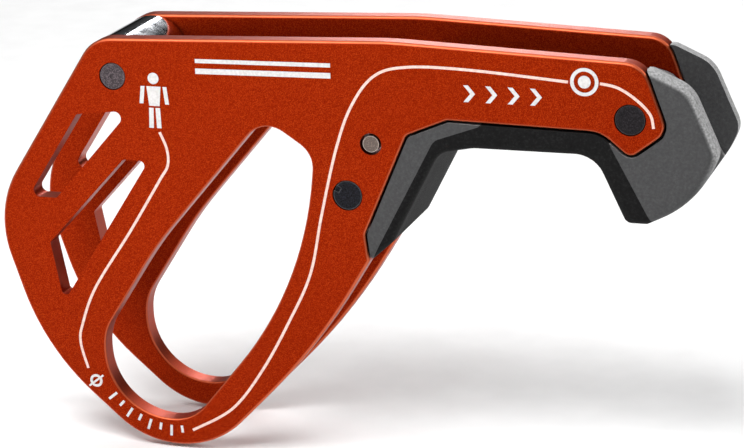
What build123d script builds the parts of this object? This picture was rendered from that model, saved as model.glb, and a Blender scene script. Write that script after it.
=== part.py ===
"""Passive belay device for a single rope: two side plates, rope bar, brake block and finger handle.

Millimetres. Origin: centre of a carabiner's 13 mm bow resting in the seat, midway between the plates.
+X runs along the plates towards the finger hook, +Y from the front plate to the rear one, +Z is up.
"""
from build123d import *
from math import atan2, cos, hypot, pi, sin, sqrt, tan
import os

# Driving dimensions
PLATE_THICKNESS = 3.0
ROPE_GAP = 13.5
HALF_WIDTH = ROPE_GAP / 2 + PLATE_THICKNESS
CARABINER_RADIUS = 6.5
SEAT_RADIUS = 10.0
NOSE_RADIUS = 5.5
RIM = 4.0
FACE_RECESS = 0.1
PIN_REACH = HALF_WIDTH - FACE_RECESS
SIDE_CLEARANCE = 0.05
MOULD_GAP = 0.3

# Pin axes, all along Y
BAR = (-4.0, 45.0)
BRAKE = (31.5, 29.2)
DOWEL = (35.2, 37.0)
HANDLE = (72.7, 42.5)

RIVET_RADIUS = 2.1
BAR_RIVET_RADIUS = 1.9
RIVET_CLEARANCE = 0.15
DOWEL_RADIUS = 1.2
DOWEL_HOLE = 1.6
BAR_RADIUS = NOSE_RADIUS
SLEEVE_RADIUS = 3.2
DIMPLE_RADIUS = 0.45
DIMPLE_DEPTH = 0.15
NOTCH_WIDTH = 0.8
EDGE_ROUND = 0.5
EYE_ROUND = 0.3
MOULD_ROUND = 1.2

ARM_TOP = BAR[1] + NOSE_RADIUS
ARM_BOTTOM = 41.0
CHANNEL_FLOOR = 46.0
FINGER_EDGE = 37.0
HOOK_BOTTOM = 27.5
SEAT_EDGE = (SEAT_RADIUS - CARABINER_RADIUS) / sqrt(2) - SEAT_RADIUS


def corner_arc(before, corner, after):
    """Start, middle and end of the arc that rounds one corner (x, z, radius)."""
    x, z, radius = corner
    towards_before = atan2(before[1] - z, before[0] - x)
    towards_after = atan2(after[1] - z, after[0] - x)
    half = ((towards_after - towards_before + pi) % (2 * pi) - pi) / 2
    middle = towards_before + half
    reach = radius / abs(tan(half))
    centre = radius / abs(sin(half))
    start = (x + reach * cos(towards_before), z + reach * sin(towards_before))
    end = (x + reach * cos(towards_after), z + reach * sin(towards_after))
    top = (x + (centre - radius) * cos(middle), z + (centre - radius) * sin(middle))
    return start, top, end


def rounded(corners):
    """Face whose outline goes through the corners, each rounded by its own radius."""
    count = len(corners)
    arcs = []
    for i in range(count):
        arcs.append(corner_arc(corners[i - 1], corners[i], corners[(i + 1) % count]))
    edges = []
    for i in range(count):
        start, top, end = arcs[i]
        following = arcs[(i + 1) % count][0]
        edges.append(Edge.make_three_point_arc(start, top, end))
        if hypot(following[0] - end[0], following[1] - end[1]) > 1e-4:
            edges.append(Edge.make_line(end, following))
    return Face(Wire(edges))


def slab(face, y_low, y_high):
    """Extrude an outline drawn as (x, z) between two heights in Y."""
    return extrude(Plane.XZ.offset(-y_low) * face, amount=y_high - y_low, dir=(0, 1, 0))


def round_sides(body, radius):
    """Round the edges all round a slab's two flat sides."""
    return fillet(body.faces().filter_by(Axis.Y).edges(), radius)


def pin(axis, radius, y_low, y_high):
    return slab(Pos(axis[0], axis[1]) * Face(Wire.make_circle(radius)), y_low, y_high)


def plate_outline():
    # The first corner has the rope bar's radius, the two lowest ones the seat's radius plus the rim.
    return rounded([
        (BAR[0] - 3.0, ARM_TOP, NOSE_RADIUS),
        (38.0, ARM_TOP + 1.5, 60.0),
        (74.5, ARM_TOP, 4.0),
        (78.0, 41.0, 2.5),
        (HANDLE[0], 37.0, 1.5),
        (68.5, 40.5, 5.0),
        (46.5, ARM_BOTTOM, 1.0),
        (40.5, 38.5, 1.0),
        (34.0, 23.5, 1.5),
        (34.5, 19.5, 0.5),
        (26.0, 5.5, 100.0),
        (9.5, SEAT_EDGE - RIM, SEAT_RADIUS + RIM),
        (-2.0, SEAT_EDGE - RIM, SEAT_RADIUS + RIM),
        (-17.5, 2.0, 35.0),
        (-24.5, 23.5, 15.5),
    ])


def upper_slot():
    return rounded([
        (-10.0, 39.0, 0.5),
        (-1.5, 40.0, 1.0),
        (-14.0, 26.0, 0.5),
        (-18.5, 26.0, 1.0),
    ])


def lower_slot():
    return rounded([
        (-3.0, 32.5, 0.5),
        (1.0, 32.5, 0.8),
        (-13.0, 11.0, 0.5),
        (-14.0, 11.0, 0.5),
        (-15.5, 19.0, 0.5),
    ])


def carabiner_eye():
    return rounded([
        (19.0, 40.0, 4.0),
        (26.5, 35.0, 4.0),
        (24.5, 15.0, 55.0),
        (6.0, SEAT_EDGE, 7.0),
        (SEAT_EDGE, SEAT_EDGE, SEAT_RADIUS),
        (SEAT_EDGE, 5.5, 8.0),
        (1.5, 19.5, 60.0),
    ])


def side_plate(y_low):
    # The rim and the eye are rounded before the slots are cut, so the slots stay crisp.
    low = y_low - 1
    high = y_low + PLATE_THICKNESS + 1
    plate = slab(plate_outline(), y_low, y_low + PLATE_THICKNESS)
    plate = round_sides(plate, EDGE_ROUND)
    eye = slab(carabiner_eye(), low, high)
    plate -= eye
    eye_edges = []
    for face in plate.faces().filter_by(Axis.Y):
        eye_edges += face.inner_wires()[0].edges()
    plate = fillet(eye_edges, EYE_ROUND)
    for opening in (upper_slot(), lower_slot()):
        plate -= slab(opening, low, high)
    for axis, radius in ((BAR, BAR_RIVET_RADIUS), (BRAKE, RIVET_RADIUS), (HANDLE, RIVET_RADIUS)):
        plate -= pin(axis, radius + RIVET_CLEARANCE, low, high)
    return plate - pin(DOWEL, DOWEL_HOLE, low, high)


def rivet(axis, radius):
    return pin(axis, radius, -PIN_REACH, PIN_REACH)


def rope_bar_rivet():
    """Rivet with a small centre dimple in each end."""
    body = rivet(BAR, BAR_RIVET_RADIUS)
    for side in (-1, 1):
        ends = sorted((side * (PIN_REACH - DIMPLE_DEPTH), side * (PIN_REACH + 1)))
        body -= pin(BAR, DIMPLE_RADIUS, ends[0], ends[1])
    return body


def brake_rivet():
    """Rivet with a short notch across the rim of its front end, at the upper left."""
    notch = Box(NOTCH_WIDTH * 2, NOTCH_WIDTH, NOTCH_WIDTH)
    place = Pos(BRAKE[0] - RIVET_RADIUS * cos(pi / 6), -HALF_WIDTH, BRAKE[1] + RIVET_RADIUS * sin(pi / 6))
    return rivet(BRAKE, RIVET_RADIUS) - place * Rot(0, 30, 0) * notch


def tube(axis, outer, shank, half_length):
    """Sleeve on a rivet, running clear on the shank."""
    bore = pin(axis, shank + RIVET_CLEARANCE, -half_length, half_length)
    return pin(axis, outer, -half_length, half_length) - bore


def brake_block():
    """Steel wear block: the rope bends over its rounded left and upper side."""
    outline = rounded([
        (28.0, 24.0, 1.5),
        (29.0, 36.0, 12.0),
        (33.5, CHANNEL_FLOOR, 5.0),
        (41.0, CHANNEL_FLOOR, 0.8),
        (39.5, 39.0, 1.0),
        (33.4, 24.0, 0.8),
    ])
    half = ROPE_GAP / 2 - SIDE_CLEARANCE
    block = slab(outline, -half, half) - pin(BRAKE, RIVET_RADIUS + RIVET_CLEARANCE, -half, half)
    return block - pin(DOWEL, DOWEL_RADIUS + SIDE_CLEARANCE, -half, half)


def handle_outline():
    """Side view of the moulded handle, running on behind the plates' lower edge."""
    return rounded([
        (33.0, 18.0, 1.3),
        (33.0, 30.0, 3.0),
        (40.5, 43.0, 3.0),
        (70.5, 43.0, 3.0),
        (73.5, 49.5, 1.5),
        (75.5, 49.5, 2.0),
        (81.0, 47.0, 5.0),
        (85.0, 38.0, 3.0),
        (82.0, 31.0, 15.0),
        (75.0, HOOK_BOTTOM, 1.3),
        (72.0, HOOK_BOTTOM, 1.3),
        (67.5, FINGER_EDGE, 4.5),
        (50.0, FINGER_EDGE, 6.0),
        (45.0, 36.0, 3.0),
        (38.0, 22.5, 1.3),
    ])


def grip_zone():
    """Area that the soft moulding covers: the finger side of the web, arm and hook."""
    return rounded([
        (33.0, 14.0, 1.0),
        (34.5, 19.0, 1.0),
        (44.5, 38.0, 2.0),
        (51.5, 40.5, 1.0),
        (51.5, 42.0, 0.3),
        (68.5, 42.0, 1.0),
        (70.0, 38.5, 2.0),
        (76.5, 26.5, 1.0),
        (76.5, 14.0, 1.0),
    ])


def handle_shell():
    """Full-width handle, cleared around the plates."""
    outside = round_sides(slab(handle_outline(), -HALF_WIDTH, HALF_WIDTH), MOULD_ROUND)
    plate_room = offset(plate_outline(), MOULD_GAP)
    return outside - slab(plate_room, -HALF_WIDTH - 1, HALF_WIDTH + 1)


def rope_channel():
    """Open channel that the brake rope runs through, above the floor and between the wings."""
    outline = rounded([
        (30.0, CHANNEL_FLOOR, 0.5),
        (75.0, CHANNEL_FLOOR, 3.0),
        (87.0, 27.5, 0.5),
        (90.0, 60.0, 0.5),
        (30.0, 60.0, 0.5),
    ])
    return slab(outline, -ROPE_GAP / 2, ROPE_GAP / 2)


def handle_tongue():
    """Part of the handle that goes in between the plates."""
    outline = rounded([
        (35.0, 24.0, 0.5),
        (40.6, 38.5, 1.0),
        (41.5, CHANNEL_FLOOR, 0.3),
        (74.0, CHANNEL_FLOOR, 6.0),
        (83.0, 41.0, 0.5),
        (81.0, 36.0, 0.5),
        (46.0, 40.0, 0.5),
    ])
    half = ROPE_GAP / 2 - SIDE_CLEARANCE
    return slab(outline, -half, half)


def finger_grip():
    zone = slab(grip_zone(), -HALF_WIDTH, HALF_WIDTH)
    return handle_shell() & zone


def handle_core():
    zone = slab(grip_zone(), -HALF_WIDTH - 1, HALF_WIDTH + 1)
    core = handle_shell() + handle_tongue() - zone - rope_channel()
    return core - pin(HANDLE, SLEEVE_RADIUS + SIDE_CLEARANCE, -HALF_WIDTH - 1, HALF_WIDTH + 1)


def build():
    front = -HALF_WIDTH
    rear = ROPE_GAP / 2
    half_gap = ROPE_GAP / 2 - SIDE_CLEARANCE
    return {
        "side_plate_front": side_plate(front),
        "side_plate_rear": side_plate(rear),
        "rope_bar": tube(BAR, BAR_RADIUS, BAR_RIVET_RADIUS, half_gap),
        "rope_bar_rivet": rope_bar_rivet(),
        "brake_block": brake_block(),
        "brake_rivet": brake_rivet(),
        "handle_dowel": pin(DOWEL, DOWEL_RADIUS, -PIN_REACH, PIN_REACH),
        "handle_core": handle_core(),
        "finger_grip": finger_grip(),
        "handle_sleeve": tube(HANDLE, SLEEVE_RADIUS, RIVET_RADIUS, half_gap),
        "handle_rivet": rivet(HANDLE, RIVET_RADIUS),
    }


os.makedirs("parts", exist_ok=True)
for name, solid in build().items():
    export_step(solid, f"parts/{name}.step")
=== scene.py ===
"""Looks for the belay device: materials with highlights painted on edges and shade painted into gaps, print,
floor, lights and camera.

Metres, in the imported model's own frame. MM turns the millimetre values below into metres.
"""

import math

import bmesh
import bpy
from mathutils import Matrix, Vector


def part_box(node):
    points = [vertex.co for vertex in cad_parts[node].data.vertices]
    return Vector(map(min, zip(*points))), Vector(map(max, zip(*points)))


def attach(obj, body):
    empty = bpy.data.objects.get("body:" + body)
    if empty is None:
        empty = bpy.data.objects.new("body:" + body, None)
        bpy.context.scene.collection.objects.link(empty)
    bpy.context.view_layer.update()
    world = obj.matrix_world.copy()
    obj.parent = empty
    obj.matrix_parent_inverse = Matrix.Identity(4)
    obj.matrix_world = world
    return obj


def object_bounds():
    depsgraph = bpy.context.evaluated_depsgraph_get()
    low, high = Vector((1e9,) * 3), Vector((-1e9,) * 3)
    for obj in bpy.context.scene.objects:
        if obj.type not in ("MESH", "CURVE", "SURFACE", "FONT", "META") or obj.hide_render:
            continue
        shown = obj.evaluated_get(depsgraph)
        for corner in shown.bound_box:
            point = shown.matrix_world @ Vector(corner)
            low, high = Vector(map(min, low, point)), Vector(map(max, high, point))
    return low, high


MM = 0.001
BODY = "root"

# View: the camera circles the point it looks at
LOOK_AT = Vector((31.9, 0.0, 22.1)) * MM
VIEW_AZIMUTH = 18.1
VIEW_ELEVATION = 16.72
VIEW_ROLL = -1.56
VIEW_DISTANCE = 400.5 * MM
LENS = 131.8

# Surface detail, how far the shade painted into gaps reaches, and how the painted rim highlight fades
NOISE_LOW = 0.3
NOISE_HIGH = 0.7
GAP_SHADE_REACH = 0.5 * MM
RIM_HIGHLIGHT_FADE = 1.2 * MM

# Print on the front plate
INK_RISE = 0.03 * MM
LINE_WIDTH = 0.4

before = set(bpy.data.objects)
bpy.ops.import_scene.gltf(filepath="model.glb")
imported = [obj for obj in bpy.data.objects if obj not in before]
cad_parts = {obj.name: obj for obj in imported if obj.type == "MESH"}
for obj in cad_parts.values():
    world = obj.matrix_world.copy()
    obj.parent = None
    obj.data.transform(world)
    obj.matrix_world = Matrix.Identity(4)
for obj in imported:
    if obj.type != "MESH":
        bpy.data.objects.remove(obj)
CAD_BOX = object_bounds()
FRONT_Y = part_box("side_plate_front")[0].y
WING_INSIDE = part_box("side_plate_rear")[0].y


# Materials

def new_material(name):
    material = bpy.data.materials.new(name)
    material.use_nodes = True
    tree = material.node_tree
    return material, tree, tree.nodes["Principled BSDF"]


def add(tree, kind, **values):
    node = tree.nodes.new(kind)
    for key, value in values.items():
        setattr(node, key, value)
    return node


def noise(tree, scale, detail=3.0, rough=0.5):
    """Noise in the object's own metres; scale is in cells per metre."""
    coords = add(tree, "ShaderNodeTexCoord")
    node = add(tree, "ShaderNodeTexNoise")
    node.inputs["Scale"].default_value = scale
    node.inputs["Detail"].default_value = detail
    node.inputs["Roughness"].default_value = rough
    tree.links.new(coords.outputs["Object"], node.inputs["Vector"])
    return node.outputs["Fac"]


def ramp(tree, factor, stops):
    node = add(tree, "ShaderNodeValToRGB")
    elements = node.color_ramp.elements
    while len(elements) < len(stops):
        elements.new(0.5)
    for element, (position, colour) in zip(elements, stops):
        element.position = position
        element.color = (*colour, 1.0)
    tree.links.new(factor, node.inputs["Fac"])
    return node.outputs["Color"]


def remap(tree, factor, from_low, from_high, low, high):
    node = add(tree, "ShaderNodeMapRange")
    node.inputs["From Min"].default_value = from_low
    node.inputs["From Max"].default_value = from_high
    node.inputs["To Min"].default_value = low
    node.inputs["To Max"].default_value = high
    tree.links.new(factor, node.inputs["Value"])
    return node.outputs["Result"]


def span(tree, factor, low, high):
    """Map a noise, which stays mostly within 0.3 to 0.7, to low..high."""
    return remap(tree, factor, NOISE_LOW, NOISE_HIGH, low, high)


def edge_mask(tree, radius):
    """1 near edges, 0 on flats, from how far a rounded normal turns from the true one; the rivets' rim
    highlight is painted there.
    """
    bevel = add(tree, "ShaderNodeBevel", samples=6)
    bevel.inputs["Radius"].default_value = radius
    geometry = add(tree, "ShaderNodeNewGeometry")
    dot = add(tree, "ShaderNodeVectorMath", operation="DOT_PRODUCT")
    tree.links.new(bevel.outputs["Normal"], dot.inputs[0])
    tree.links.new(geometry.outputs["Normal"], dot.inputs[1])
    return remap(tree, dot.outputs["Value"], 0.97, 0.75, 0.0, 1.0)


def painted_gap_shade(tree):
    """1 in the open, down to 0 inside narrow gaps, where the materials paint in shade."""
    node = add(tree, "ShaderNodeAmbientOcclusion", samples=6)
    node.inputs["Distance"].default_value = GAP_SHADE_REACH
    return remap(tree, node.outputs["AO"], 0.25, 0.85, 0.0, 1.0)


def maths(tree, operation, first, second=None):
    node = add(tree, "ShaderNodeMath", operation=operation)
    for socket, value in ((node.inputs[0], first), (node.inputs[1], second)):
        if isinstance(value, (int, float)):
            socket.default_value = value
        elif value is not None:
            tree.links.new(value, socket)
    return node.outputs["Value"]


def parts_of(tree, source):
    """X, size of Y and Z of a surface point's "Normal" or "Position"."""
    geometry = add(tree, "ShaderNodeNewGeometry")
    split = add(tree, "ShaderNodeSeparateXYZ")
    tree.links.new(geometry.outputs[source], split.inputs["Vector"])
    return split.outputs["X"], maths(tree, "ABSOLUTE", split.outputs["Y"]), split.outputs["Z"]


def rolled_edge_highlight_mask(tree):
    """1 on the rolled edges between a flat side and the rim, from how far the normal leaves Y; the plates'
    edge highlight is painted there.
    """
    across = parts_of(tree, "Normal")[1]
    leaves_side = remap(tree, across, 0.99, 0.85, 0.0, 1.0)
    leaves_rim = remap(tree, across, 0.05, 0.35, 0.0, 1.0)
    return maths(tree, "MULTIPLY", leaves_side, leaves_rim)


def cut_face(tree):
    """1 on faces cut through a plate, which run along Y, 0 on its sides."""
    across = parts_of(tree, "Normal")[1]
    return remap(tree, across, 0.05, 0.25, 1.0, 0.0)


def painted_rim_highlight_mask(tree):
    """1 where a wing's rim faces up or outwards and a highlight is painted, 0 on its sides and in the
    channel.
    """
    right, across, up = parts_of(tree, "Normal")
    leaves_side = remap(tree, across, 0.97, 0.75, 0.0, 1.0)
    outwards = maths(tree, "ADD", right, up)
    rim = maths(tree, "MULTIPLY", leaves_side, remap(tree, outwards, 0.1, 0.8, 0.0, 1.0))
    from_middle = parts_of(tree, "Position")[1]
    on_wing = remap(tree, from_middle, WING_INSIDE - RIM_HIGHLIGHT_FADE, WING_INSIDE, 0.0, 1.0)
    return maths(tree, "MULTIPLY", rim, on_wing)


def mix(tree, factor, first, second):
    node = add(tree, "ShaderNodeMix", data_type="RGBA")
    tree.links.new(factor, node.inputs["Factor"])
    for socket, value in ((node.inputs["A"], first), (node.inputs["B"], second)):
        if isinstance(value, tuple):
            socket.default_value = (*value, 1.0)
        else:
            tree.links.new(value, socket)
    return node.outputs["Result"]


def bump(tree, shader, heights):
    """Stack bump maps (factor, distance in metres, strength) on the shader's normal."""
    normal = None
    for factor, distance, strength in heights:
        node = add(tree, "ShaderNodeBump")
        node.inputs["Distance"].default_value = distance
        node.inputs["Strength"].default_value = strength
        tree.links.new(factor, node.inputs["Height"])
        if normal is not None:
            tree.links.new(normal, node.inputs["Normal"])
        normal = node.outputs["Normal"]
    tree.links.new(normal, shader.inputs["Normal"])


def orange_anodised():
    """Anodised aluminium: blasted sides with a fine sparkle grain; rolled edges and cut faces painted paler
    as a highlight, and shade painted into narrow gaps.
    """
    material, tree, shader = new_material("orange_anodised_look")
    grain = noise(tree, 7000.0, 1.0, 0.75)
    cloud = noise(tree, 45.0, 3.0)
    base = ramp(tree, grain, [
        (0.33, (0.18, 0.009, 0.001)),
        (0.50, (0.27, 0.016, 0.002)),
        (0.68, (0.42, 0.042, 0.006)),
    ])
    base = mix(tree, span(tree, cloud, 0.0, 0.2), base, (0.21, 0.012, 0.001))
    # Painted highlight: the rolled edges are painted pale peach, as they look where the light catches them.
    base = mix(tree, maths(tree, "MULTIPLY", rolled_edge_highlight_mask(tree), 0.8), base, (0.62, 0.14, 0.06))
    cut = cut_face(tree)
    # Painted highlight: the cut faces are painted paler peach, as they look when lit from above; their lower
    # roughness below is a real finish.
    base = mix(tree, maths(tree, "MULTIPLY", cut, 0.3), base, (0.55, 0.085, 0.030))
    # Painted shade: narrow gaps and the rims of holes are darkened to near black.
    base = mix(tree, painted_gap_shade(tree), (0.03, 0.002, 0.001), base)
    tree.links.new(base, shader.inputs["Base Color"])
    shader.inputs["Metallic"].default_value = 1.0
    smoother = maths(tree, "MULTIPLY", cut, 0.10)
    roughness = maths(tree, "SUBTRACT", span(tree, grain, 0.42, 0.56), smoother)
    tree.links.new(roughness, shader.inputs["Roughness"])
    bump(tree, shader, [(grain, 0.02 * MM, 0.45), (cloud, 0.05 * MM, 0.1)])
    return material


def polished_steel():
    """Turned and polished steel: fine rings round Y and light rope scuffs."""
    material, tree, shader = new_material("polished_steel_look")
    coords = add(tree, "ShaderNodeTexCoord")
    stretch = add(tree, "ShaderNodeMapping")
    stretch.inputs["Scale"].default_value = (40.0, 4000.0, 40.0)
    rings = add(tree, "ShaderNodeTexNoise")
    rings.inputs["Scale"].default_value = 1.0
    tree.links.new(coords.outputs["Object"], stretch.inputs["Vector"])
    tree.links.new(stretch.outputs["Vector"], rings.inputs["Vector"])
    scuff = noise(tree, 700.0, 4.0)
    base = ramp(tree, scuff, [(0.35, (0.50, 0.52, 0.56)), (0.60, (0.66, 0.68, 0.72))])
    tree.links.new(base, shader.inputs["Base Color"])
    shader.inputs["Metallic"].default_value = 1.0
    tree.links.new(span(tree, scuff, 0.08, 0.15), shader.inputs["Roughness"])
    bump(tree, shader, [(rings.outputs["Fac"], 0.002 * MM, 0.2), (scuff, 0.001 * MM, 0.1)])
    return material


def rivet_steel(name, dark, light, shine, highlight_colour):
    """Swaged rivet end: mottled, finely scratched, with a highlight painted on its rim."""
    material, tree, shader = new_material(name)
    mottle = noise(tree, 5000.0, 3.0, 0.6)
    scratches = add(tree, "ShaderNodeTexWave", wave_type="BANDS", bands_direction="DIAGONAL")
    coords = add(tree, "ShaderNodeTexCoord")
    scratches.inputs["Scale"].default_value = 900.0
    scratches.inputs["Distortion"].default_value = 9.0
    scratches.inputs["Detail"].default_value = 3.0
    tree.links.new(coords.outputs["Object"], scratches.inputs["Vector"])
    middle = tuple((a + b) / 3 for a, b in zip(dark, light))
    base = ramp(tree, mottle, [(0.38, dark), (0.52, middle), (0.68, light)])
    # Painted highlight: the rim of the rivet end is painted in the lighter highlight colour.
    base = mix(tree, edge_mask(tree, 0.25 * MM), base, highlight_colour)
    tree.links.new(base, shader.inputs["Base Color"])
    shader.inputs["Metallic"].default_value = 0.8
    tree.links.new(span(tree, mottle, shine, shine + 0.2), shader.inputs["Roughness"])
    bump(tree, shader, [(mottle, 0.03 * MM, 0.35), (scratches.outputs["Fac"], 0.02 * MM, 0.25)])
    return material


def moulded(name, colours, roughness, grain_size, depth, highlight_colour, specular):
    """Moulded polymer with a spark-eroded texture, a highlight painted paler on the upper and outer wing
    rims, and shade painted into gaps.
    """
    material, tree, shader = new_material(name)
    grain = noise(tree, grain_size, 4.0, 0.65)
    patch = noise(tree, 160.0, 3.0)
    base = ramp(tree, grain, [(0.30, colours[0]), (0.52, colours[1]), (0.80, colours[2])])
    base = mix(tree, span(tree, patch, 0.0, 0.25), base, colours[0])
    # Painted highlight: wing rims that face up or outwards are painted paler, as they look under the light.
    rim_highlight = maths(tree, "MULTIPLY", painted_rim_highlight_mask(tree), span(tree, grain, 0.2, 1.0))
    base = mix(tree, rim_highlight, base, highlight_colour)
    # Painted shade: narrow gaps are darkened to near black.
    base = mix(tree, painted_gap_shade(tree), (0.004, 0.004, 0.005), base)
    tree.links.new(base, shader.inputs["Base Color"])
    tree.links.new(span(tree, grain, roughness - 0.08, roughness + 0.1), shader.inputs["Roughness"])
    shader.inputs["Specular IOR Level"].default_value = specular
    bump(tree, shader, [(grain, depth, 0.5), (patch, depth * 2, 0.15)])
    return material


def ink(name, thin, full):
    """Screen-printed ink, slightly uneven in cover."""
    material, tree, shader = new_material(name)
    speckle = noise(tree, 3000.0, 2.0)
    base = ramp(tree, speckle, [(0.3, thin), (0.7, full)])
    tree.links.new(base, shader.inputs["Base Color"])
    shader.inputs["Roughness"].default_value = 0.55
    bump(tree, shader, [(speckle, 0.01 * MM, 0.2)])
    return material


def dress(node, material):
    mesh_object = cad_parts[node]
    mesh_object.data.materials.clear()
    mesh_object.data.materials.append(material)


# Print

def flat_piece(name, outlines, material):
    """Thin printed shape on the front plate, from closed outlines of (x, z) in millimetres."""
    mesh = bpy.data.meshes.new(name)
    work = bmesh.new()
    y = FRONT_Y - INK_RISE
    for outline in outlines:
        vertices = [work.verts.new((x * MM, y, z * MM)) for x, z in outline]
        work.faces.new(vertices)
    bmesh.ops.triangulate(work, faces=work.faces[:])
    bmesh.ops.recalc_face_normals(work, faces=work.faces[:])
    back = bmesh.ops.extrude_face_region(work, geom=work.faces[:])
    moved = [item for item in back["geom"] if isinstance(item, bmesh.types.BMVert)]
    bmesh.ops.translate(work, verts=moved, vec=(0.0, INK_RISE * 0.9, 0.0))
    bmesh.ops.recalc_face_normals(work, faces=work.faces[:])
    work.to_mesh(mesh)
    work.free()
    piece = bpy.data.objects.new(name, mesh)
    bpy.context.scene.collection.objects.link(piece)
    mesh.materials.append(material)
    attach(piece, BODY)
    return piece


def smooth_path(points, steps=10):
    """Points along a smooth curve through the given ones."""
    ends = [points[0]] + points + [points[-1]]
    path = []
    for i in range(1, len(ends) - 2):
        p0, p1, p2, p3 = (Vector(p) for p in ends[i - 1:i + 3])
        for step in range(steps):
            t = step / steps
            path.append(0.5 * (
                2 * p1 + (p2 - p0) * t
                + (2 * p0 - 5 * p1 + 4 * p2 - p3) * t * t
                + (3 * p1 - p0 - 3 * p2 + p3) * t ** 3))
    path.append(Vector(points[-1]))
    return path


def stroke(points, width):
    """Quads that follow a path with a constant width."""
    path = [Vector(p) for p in points]
    sides = []
    for i, point in enumerate(path):
        ahead = path[min(i + 1, len(path) - 1)] - path[max(i - 1, 0)]
        across = Vector((-ahead.y, ahead.x)).normalized() * (width / 2)
        sides.append((point + across, point - across))
    quads = []
    for (a, b), (c, d) in zip(sides, sides[1:]):
        quads.append([tuple(a), tuple(c), tuple(d), tuple(b)])
    return quads


def disc(x, z, radius, count=20):
    turn = 2 * math.pi / count
    return [(x + radius * math.cos(i * turn), z + radius * math.sin(i * turn)) for i in range(count)]


def arc(radius, low, high, centre, count):
    """Points along an arc between two angles in degrees."""
    points = []
    for i in range(count + 1):
        angle = math.radians(low + (high - low) * i / count)
        points.append((centre[0] + radius * math.cos(angle), centre[1] + radius * math.sin(angle)))
    return points


def ring_part(centre, outer, inner, low, sweep, count):
    there = arc(outer, low, low + sweep, centre, count)
    back = arc(inner, low, low + sweep, centre, count)
    return there + back[::-1]


def rope_line_to_figure():
    points = [
        (3.0, 37.0), (4.0, 34.5), (4.0, 32.0), (2.5, 29.5), (-2.5, 21.5), (-8.5, 12.5),
        (-11.0, 6.5), (-11.5, 3.5), (-10.5, -0.5)]
    flat_piece("print_rope_left", stroke(smooth_path(points), LINE_WIDTH), LINE_INK)


def rope_line_to_hand():
    points = [
        (6.0, -9.0), (12.5, -5.0), (17.5, 1.5), (22.0, 9.5), (25.5, 17.0), (27.5, 26.0), (30.0, 36.0),
        (32.5, 42.5), (36.0, 47.0), (41.0, 48.5), (50.0, 48.5), (64.0, 47.5)]
    flat_piece("print_rope_right", stroke(smooth_path(points), LINE_WIDTH), LINE_INK)


def rope_line_end():
    points = [(68.5, 47.5), (71.0, 47.0), (73.5, 45.5), (75.5, 43.5), (76.0, 41.5)]
    flat_piece("print_rope_end", stroke(smooth_path(points), LINE_WIDTH), LINE_INK)


def stripes():
    """Two plain stripes on the broad part of the plate."""
    outlines = []
    for low, high in ((46.0, 46.8), (47.6, 48.2)):
        outlines.append([(9.0, low), (29.5, low + 0.3), (29.5, high + 0.3), (9.0, high)])
    flat_piece("print_stripes", outlines, INK)


def chevrons():
    """Plain arrowheads on the arm, pointing the way the brake rope leaves."""
    outlines = []
    for i in range(4):
        x = 49.0 + i * 3.2
        outlines.append([
            (x, 43.9), (x + 1.0, 45.1), (x, 46.3),
            (x + 0.7, 46.3), (x + 1.7, 45.1), (x + 0.7, 43.9)])
    flat_piece("print_chevrons", outlines, INK)


def figure():
    """Plain standing pictogram, the same left and right, at the climber's end of the rope line."""
    middle = 2.4
    outlines = [disc(middle, 45.0, 0.85)]
    outlines.append([(middle - 1.1, 43.8), (middle + 1.1, 43.8), (middle + 0.8, 40.9), (middle - 0.8, 40.9)])
    for side in (-1, 1):
        arm = [(1.4, 43.8), (2.0, 43.8), (2.3, 41.2), (1.7, 41.2)]
        leg = [(0.15, 40.6), (0.85, 40.6), (0.95, 37.6), (0.25, 37.6)]
        for limb in (arm, leg):
            outlines.append([(middle + side * x, z) for x, z in limb])
    flat_piece("print_figure", outlines, INK)


def brake_end_mark():
    """Plain dot in a ring where the brake hand holds the rope."""
    centre = (66.3, 47.6)
    outlines = [disc(*centre, 0.9, 24)]
    for low in (0.0, 180.0):
        outlines.append(ring_part(centre, 2.0, 1.5, low, 180.0, 20))
    flat_piece("print_brake_end", outlines, INK)


def size_mark():
    """Diameter sign and a row of plain ticks along the rim, in place of the printed size."""
    centre = (-9.3, -2.4)
    slash = math.radians(38.0)
    outlines = []
    for low in (48.0, 228.0):
        outlines.append(ring_part(centre, 1.0, 0.62, low, 160.0, 16))
    tip = (1.5 * math.cos(slash), 1.5 * math.sin(slash))
    ends = [(centre[0] - tip[0], centre[1] - tip[1]), (centre[0] + tip[0], centre[1] + tip[1])]
    outlines += stroke(ends, 0.3)
    hub = (3.2, 3.4)
    for i in range(8):
        angle = math.radians(-141.0 + 8.0 * i)
        reach = 13.0 if i % 2 else 13.6
        outlines += stroke([
            (hub[0] + 11.9 * math.cos(angle), hub[1] + 11.9 * math.sin(angle)),
            (hub[0] + reach * math.cos(angle), hub[1] + reach * math.sin(angle))], 0.4)
    flat_piece("print_size_mark", outlines, INK)


# Stage

def floor():
    bpy.ops.mesh.primitive_plane_add(size=8.0, location=(0.0, 0.0, CAD_BOX[0].z - 0.5 * MM))
    plane = bpy.context.object
    plane.name = "floor"
    material, tree, shader = new_material("floor_paper")
    fleck = noise(tree, 120.0, 2.0)
    paper = ramp(tree, fleck, [(0.3, (0.86, 0.86, 0.86)), (0.7, (0.9, 0.9, 0.9))])
    tree.links.new(paper, shader.inputs["Base Color"])
    shader.inputs["Roughness"].default_value = 0.9
    plane.data.materials.append(material)


def softbox(name, location, target, size, power):
    light = bpy.data.lights.new(name, "AREA")
    light.shape = "RECTANGLE"
    light.size, light.size_y = size
    light.energy = power
    holder = bpy.data.objects.new(name, light)
    bpy.context.scene.collection.objects.link(holder)
    holder.location = location
    holder.rotation_mode = "QUATERNION"
    holder.rotation_quaternion = (Vector(target) - Vector(location)).to_track_quat("-Z", "Y")


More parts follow.
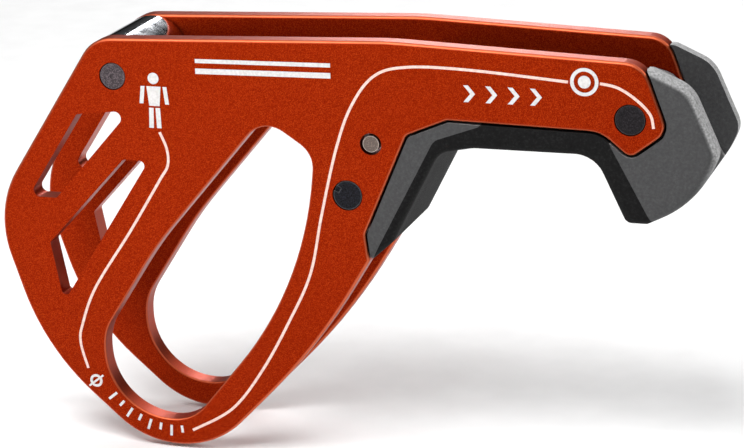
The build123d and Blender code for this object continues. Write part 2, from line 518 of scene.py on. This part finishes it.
def studio():
    """Even white surround, with a dark backdrop behind the object that only reflections see."""
    world = bpy.data.worlds.new("studio")
    world.use_nodes = True
    tree = world.node_tree
    background = tree.nodes["Background"]
    coords = add(tree, "ShaderNodeTexCoord")
    split = add(tree, "ShaderNodeSeparateXYZ")
    path = add(tree, "ShaderNodeLightPath")
    tree.links.new(coords.outputs["Generated"], split.inputs["Vector"])
    behind = remap(tree, split.outputs["Y"], 0.25, 0.60, 0.0, 1.0)
    low = remap(tree, split.outputs["Z"], 0.05, 0.20, 1.0, 0.0)
    right = remap(tree, split.outputs["X"], -0.25, 0.20, 0.0, 0.9)
    dark = maths(tree, "MULTIPLY", behind, maths(tree, "MAXIMUM", low, right))
    dark = maths(tree, "MULTIPLY", dark, path.outputs["Is Glossy Ray"])
    tree.links.new(remap(tree, dark, 0.0, 1.0, 0.85, 0.02), background.inputs["Strength"])
    return world


def lights():
    centre = LOOK_AT
    softbox("key_top", (-0.08, -0.28, 0.52), centre, (0.5, 0.25), 4.2)
    softbox("back_strip", (-0.12, 0.60, 0.24), centre, (0.14, 0.11), 0.4)
    softbox("floor_wash", (0.10, 0.90, 0.90), (0.05, 0.30, 0.0), (1.2, 0.8), 7.0)
    softbox("front_fill", (-0.35, -0.60, 0.18), centre, (0.5, 0.4), 1.9)
    softbox("right_rim", (0.50, 0.10, 0.25), centre, (0.2, 0.4), 1.6)
    bpy.context.scene.world = studio()
    bpy.context.scene.view_settings.view_transform = "Standard"


def camera():
    azimuth = math.radians(VIEW_AZIMUTH)
    elevation = math.radians(VIEW_ELEVATION)
    level = math.cos(elevation)
    back = Vector((math.sin(azimuth) * level, -math.cos(azimuth) * level, math.sin(elevation)))
    data = bpy.data.cameras.new("camera")
    data.lens = LENS
    data.clip_start = 0.01
    holder = bpy.data.objects.new("camera", data)
    bpy.context.scene.collection.objects.link(holder)
    turned = (-back).to_track_quat("-Z", "Y").to_matrix().to_4x4()
    holder.matrix_world = (
        Matrix.Translation(LOOK_AT + back * VIEW_DISTANCE)
        @ turned @ Matrix.Rotation(math.radians(VIEW_ROLL), 4, "Z"))
    bpy.context.scene.camera = holder


ORANGE = orange_anodised()
STEEL = polished_steel()
# The last colour of each rivet look is the highlight painted on its rim.
RIVET = rivet_steel(
    "rivet_steel_look", (0.030, 0.024, 0.027), (0.160, 0.125, 0.135), 0.34, (0.16, 0.13, 0.14))
HOOK_RIVET = rivet_steel(
    "hook_rivet_look", (0.006, 0.005, 0.006), (0.030, 0.025, 0.029), 0.36, (0.07, 0.06, 0.065))
DARK_RIVET = rivet_steel(
    "dark_rivet_look", (0.002, 0.002, 0.003), (0.016, 0.016, 0.024), 0.26, (0.12, 0.12, 0.13))
DOWEL = rivet_steel(
    "dowel_look", (0.11, 0.085, 0.072), (0.25, 0.19, 0.165), 0.35, (0.62, 0.52, 0.46))
# The last colour of each moulded look is the highlight painted on its wing rims.
GREY = moulded(
    "grey_plastic_look",
    ((0.032, 0.032, 0.033), (0.045, 0.045, 0.046), (0.070, 0.070, 0.071)),
    0.55, 2600.0, 0.06 * MM, (0.40, 0.40, 0.40), 0.3)
BLACK = moulded(
    "black_grip_look",
    ((0.001, 0.001, 0.001), (0.005, 0.005, 0.005), (0.020, 0.020, 0.020)),
    0.72, 2600.0, 0.10 * MM, (0.030, 0.030, 0.030), 0.12)
INK = ink("print_ink", (0.55, 0.53, 0.52), (0.68, 0.66, 0.65))
LINE_INK = ink("line_ink", (0.70, 0.44, 0.36), (0.86, 0.60, 0.52))

for plate in ("side_plate_front", "side_plate_rear"):
    dress(plate, ORANGE)
for part in ("rope_bar", "brake_block"):
    dress(part, STEEL)
for part in ("rope_bar_rivet", "handle_sleeve"):
    dress(part, RIVET)
dress("handle_rivet", HOOK_RIVET)
dress("brake_rivet", DARK_RIVET)
dress("handle_dowel", DOWEL)
dress("handle_core", GREY)
dress("finger_grip", BLACK)

rope_line_to_figure()
rope_line_to_hand()
rope_line_end()
stripes()
chevrons()
figure()
brake_end_mark()
size_mark()

floor()
lights()
camera()
